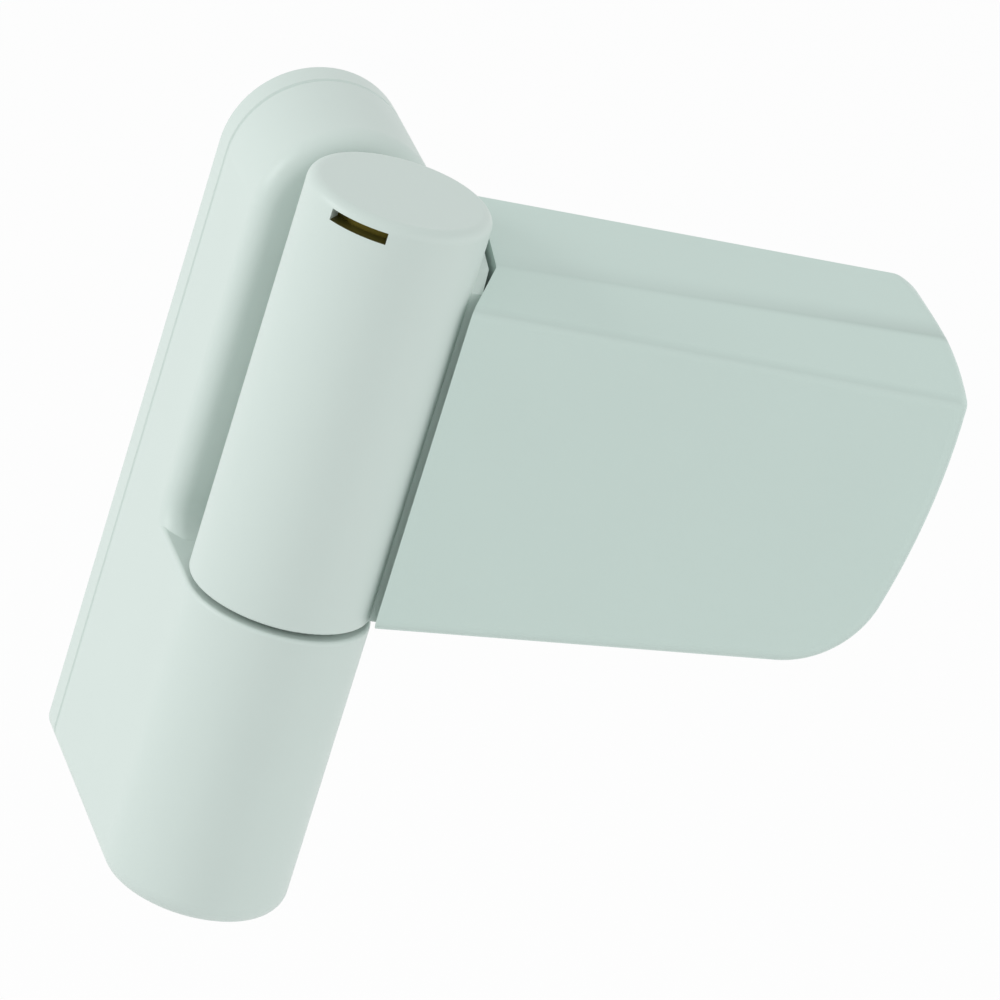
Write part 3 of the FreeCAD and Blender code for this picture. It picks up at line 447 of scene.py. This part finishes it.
FLOOR_LEVEL = -0.22
FLOOR_SIZE = 12
FLOOR_GREY = (0.9, 0.9, 0.9, 1)
WHITE_SHARE = 0.94
PURE_WHITE = (1, 1, 1, 1)
bpy.ops.mesh.primitive_plane_add(size=FLOOR_SIZE, location=(0, 0, FLOOR_LEVEL))
floor = bpy.context.object
floor.name = "floor"
material, tree, shader = new_material("pale_floor")
shader.inputs["Base Color"].default_value = FLOOR_GREY
shader.inputs["Roughness"].default_value = 0.8
share = maths(tree, "MULTIPLY", "White share", seen_rays(tree), WHITE_SHARE)
white = set_inputs(add_node(tree, "ShaderNodeEmission", "White"), Color=PURE_WHITE, Strength=1.0)
blend = add_node(tree, "ShaderNodeMixShader", "Floor with shadow")
join(tree, share, blend.inputs["Fac"])
join(tree, shader.outputs["BSDF"], blend.inputs[1])
join(tree, white.outputs["Emission"], blend.inputs[2])
join(tree, blend.outputs["Shader"], tree.nodes["Material Output"].inputs["Surface"])
floor.data.materials.append(material)
print("floor at", FLOOR_LEVEL, "m")

# %% [markdown]
# ## Sky
# An even pale sky gives light from all sides. It is weaker than white, which leaves room for the lamps,
# but the rays that see a white floor see a white backdrop in place of it.

# %% Build the sky
SKY_COLOUR = (0.97, 1.0, 1.0, 1)
SKY_STRENGTH = 0.67
world = bpy.data.worlds.new("studio_sky")
scene.world = world
world.use_nodes = True
tree = world.node_tree
sky = set_inputs(tree.nodes["Background"], Color=SKY_COLOUR, Strength=SKY_STRENGTH)
backdrop = add_node(tree, "ShaderNodeBackground", "White backdrop")
set_inputs(backdrop, Color=PURE_WHITE, Strength=1.0)
blend = add_node(tree, "ShaderNodeMixShader", "Seen sky")
join(tree, seen_rays(tree), blend.inputs["Fac"])
join(tree, sky.outputs["Background"], blend.inputs[1])
join(tree, backdrop.outputs["Background"], blend.inputs[2])
join(tree, blend.outputs["Shader"], tree.nodes["World Output"].inputs["Surface"])
print("sky of strength", SKY_STRENGTH)

# %% [markdown]
# ## Lamps
# Three round lamps shape the hinge: the strongest on the left, a weaker one in front and a faint one on
# the right. They are large beside the hinge, so the shadows are soft. Each is turned so that it faces the
# hinge.

# %% Place the lamps
hinge_middle = Vector((0.03, axis_y, 0.0))


def add_lamp(name, place, size, power):
    light = bpy.data.lights.new(name, "AREA")
    light.shape = "DISK"
    light.size = size
    light.energy = power
    lamp = bpy.data.objects.new(name, light)
    scene.collection.objects.link(lamp)
    lamp.location = place
    lamp.rotation_euler = (hinge_middle - Vector(place)).to_track_quat("-Z", "Y").to_euler()


add_lamp("left_lamp", (-0.90, 0.08, 0.28), size=0.5, power=3.1)
add_lamp("front_lamp", (0.50, -0.90, 0.42), size=0.9, power=1.8)
add_lamp("right_lamp", (0.90, -0.20, 0.25), size=0.8, power=0.7)

# %% [markdown]
# ## The camera
# The picture was taken from the front left and above, and the camera was tilted, so the upright pin leans
# to the right. The camera's three axes are worked out from two angles and the tilt. The lens is given as
# a share of the sensor's width, which fixes the picture's scale.

# %% Place the camera
AZIMUTH = math.radians(21.527)
ELEVATION = math.radians(22.919)
TILT = math.radians(17.664)
DISTANCE = 0.95956
SENSOR_WIDTH = 36
LENS_PER_WIDTH = 8.24385
target = Vector((0.0228, axis_y, 0.00936))
level_reach = math.cos(ELEVATION)
back = Vector((-math.sin(AZIMUTH) * level_reach, -math.cos(AZIMUTH) * level_reach, math.sin(ELEVATION)))
right = Vector((math.cos(AZIMUTH), -math.sin(AZIMUTH), 0))
up = back.cross(right)
screen_right = right * math.cos(TILT) + up * math.sin(TILT)
screen_up = up * math.cos(TILT) - right * math.sin(TILT)
camera_data = bpy.data.cameras.new("camera")
camera_data.sensor_width = SENSOR_WIDTH
camera_data.lens = LENS_PER_WIDTH * SENSOR_WIDTH
camera_data.clip_start = 0.05
camera_data.clip_end = 50
camera = bpy.data.objects.new("camera", camera_data)
scene.collection.objects.link(camera)
place = target + back * DISTANCE
turn = Matrix((screen_right, screen_up, back)).transposed().to_4x4()
camera.matrix_world = Matrix.Translation(place) @ turn
scene.camera = camera
print("camera at", [round(v, 3) for v in place], "lens", round(camera_data.lens, 1), "mm")
